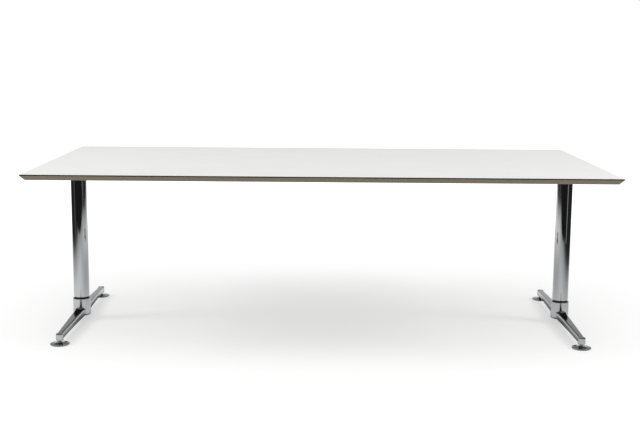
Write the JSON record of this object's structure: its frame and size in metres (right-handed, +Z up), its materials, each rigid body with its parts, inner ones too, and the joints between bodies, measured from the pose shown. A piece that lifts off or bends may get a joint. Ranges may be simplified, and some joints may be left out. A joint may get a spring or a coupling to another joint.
{
  "type": "conference table",
  "caption": "Rectangular conference table: white laminate top with an undercut edge on two chromed round columns with T-shaped feet and screw-in levelling glides.",
  "frame": {"origin": "on the floor, under the centre of the top", "axes": "+X along the top's length, +Y across it away from the viewer, +Z up"},
  "size_m": [2.4, 1.2, 0.735],
  "materials": {
    "white_laminate": "satin laminate",
    "core_board": "sealed board edge",
    "backing_laminate": "matt laminate",
    "chrome": "bright chrome",
    "polished_casting": "polished",
    "black_plastic": "matt",
    "zinc_steel": "zinc plated",
    "black_steel": "powder coat"
  },
  "bodies": {
    "root": {"top_laminate": "white_laminate", "top_core": "core_board", "under_laminate": "backing_laminate", "left_foot": "polished_casting", "left_hub_cap": "black_plastic", "left_spacer_ring": "black_plastic", "left_column": "chrome", "left_tie_rod": "zinc_steel", "left_tie_washer": "zinc_steel", "left_lower_nut": "zinc_steel", "left_upper_nut": "zinc_steel", "left_bearer": "black_steel", "left_bearer_screw_1": "zinc_steel", "left_bearer_screw_2": "zinc_steel", "left_bearer_screw_3": "zinc_steel", "left_bearer_screw_4": "zinc_steel", "left_front_rail_bolt_1": "zinc_steel", "left_front_rail_bolt_2": "zinc_steel", "left_back_rail_bolt_1": "zinc_steel", "left_back_rail_bolt_2": "zinc_steel", "right_foot": "polished_casting", "right_hub_cap": "black_plastic", "right_spacer_ring": "black_plastic", "right_column": "chrome", "right_tie_rod": "zinc_steel", "right_tie_washer": "zinc_steel", "right_lower_nut": "zinc_steel", "right_upper_nut": "zinc_steel", "right_bearer": "black_steel", "right_bearer_screw_1": "zinc_steel", "right_bearer_screw_2": "zinc_steel", "right_bearer_screw_3": "zinc_steel", "right_bearer_screw_4": "zinc_steel", "right_front_rail_bolt_1": "zinc_steel", "right_front_rail_bolt_2": "zinc_steel", "right_back_rail_bolt_1": "zinc_steel", "right_back_rail_bolt_2": "zinc_steel", "front_rail": "black_steel", "front_rail_screw_1": "zinc_steel", "front_rail_screw_2": "zinc_steel", "back_rail": "black_steel", "back_rail_screw_1": "zinc_steel", "back_rail_screw_2": "zinc_steel"},
    "left_front_glide": {"left_front_glide_disc": "chrome", "left_front_glide_pad": "black_plastic"},
    "left_front_stem": {"left_front_glide_stem": "zinc_steel"},
    "left_back_glide": {"left_back_glide_disc": "chrome", "left_back_glide_pad": "black_plastic"},
    "left_back_stem": {"left_back_glide_stem": "zinc_steel"},
    "right_front_glide": {"right_front_glide_disc": "chrome", "right_front_glide_pad": "black_plastic"},
    "right_front_stem": {"right_front_glide_stem": "zinc_steel"},
    "right_back_glide": {"right_back_glide_disc": "chrome", "right_back_glide_pad": "black_plastic"},
    "right_back_stem": {"right_back_glide_stem": "zinc_steel"}
  },
  "joints": [
    {"name": "left_front_glide_travel", "type": "slide", "parent": "root", "child": "left_front_glide", "axis": [0, 0, -1], "range_m": [0, 0.015]},
    {"name": "left_front_stem_turn", "type": "hinge", "parent": "left_front_glide", "child": "left_front_stem", "pos_m": [-1.094, -0.449, 0.015], "axis": [0, 0, -1], "range_deg": [0, 3600]},
    {"name": "left_back_glide_travel", "type": "slide", "parent": "root", "child": "left_back_glide", "axis": [0, 0, -1], "range_m": [0, 0.015]},
    {"name": "left_back_stem_turn", "type": "hinge", "parent": "left_back_glide", "child": "left_back_stem", "pos_m": [-1.094, 0.449, 0.015], "axis": [0, 0, -1], "range_deg": [0, 3600]},
    {"name": "right_front_glide_travel", "type": "slide", "parent": "root", "child": "right_front_glide", "axis": [0, 0, -1], "range_m": [0, 0.015]},
    {"name": "right_front_stem_turn", "type": "hinge", "parent": "right_front_glide", "child": "right_front_stem", "pos_m": [1.094, -0.449, 0.015], "axis": [0, 0, -1], "range_deg": [0, 3600]},
    {"name": "right_back_glide_travel", "type": "slide", "parent": "root", "child": "right_back_glide", "axis": [0, 0, -1], "range_m": [0, 0.015]},
    {"name": "right_back_stem_turn", "type": "hinge", "parent": "right_back_glide", "child": "right_back_stem", "pos_m": [1.094, 0.449, 0.015], "axis": [0, 0, -1], "range_deg": [0, 3600]}
  ],
  "couplings": [
    {"joint": "left_front_stem_turn", "follows": "left_front_glide_travel", "rad_per_m": 4188.8},
    {"joint": "left_back_stem_turn", "follows": "left_back_glide_travel", "rad_per_m": 4188.8},
    {"joint": "right_front_stem_turn", "follows": "right_front_glide_travel", "rad_per_m": 4188.8},
    {"joint": "right_back_stem_turn", "follows": "right_back_glide_travel", "rad_per_m": 4188.8}
  ]
}
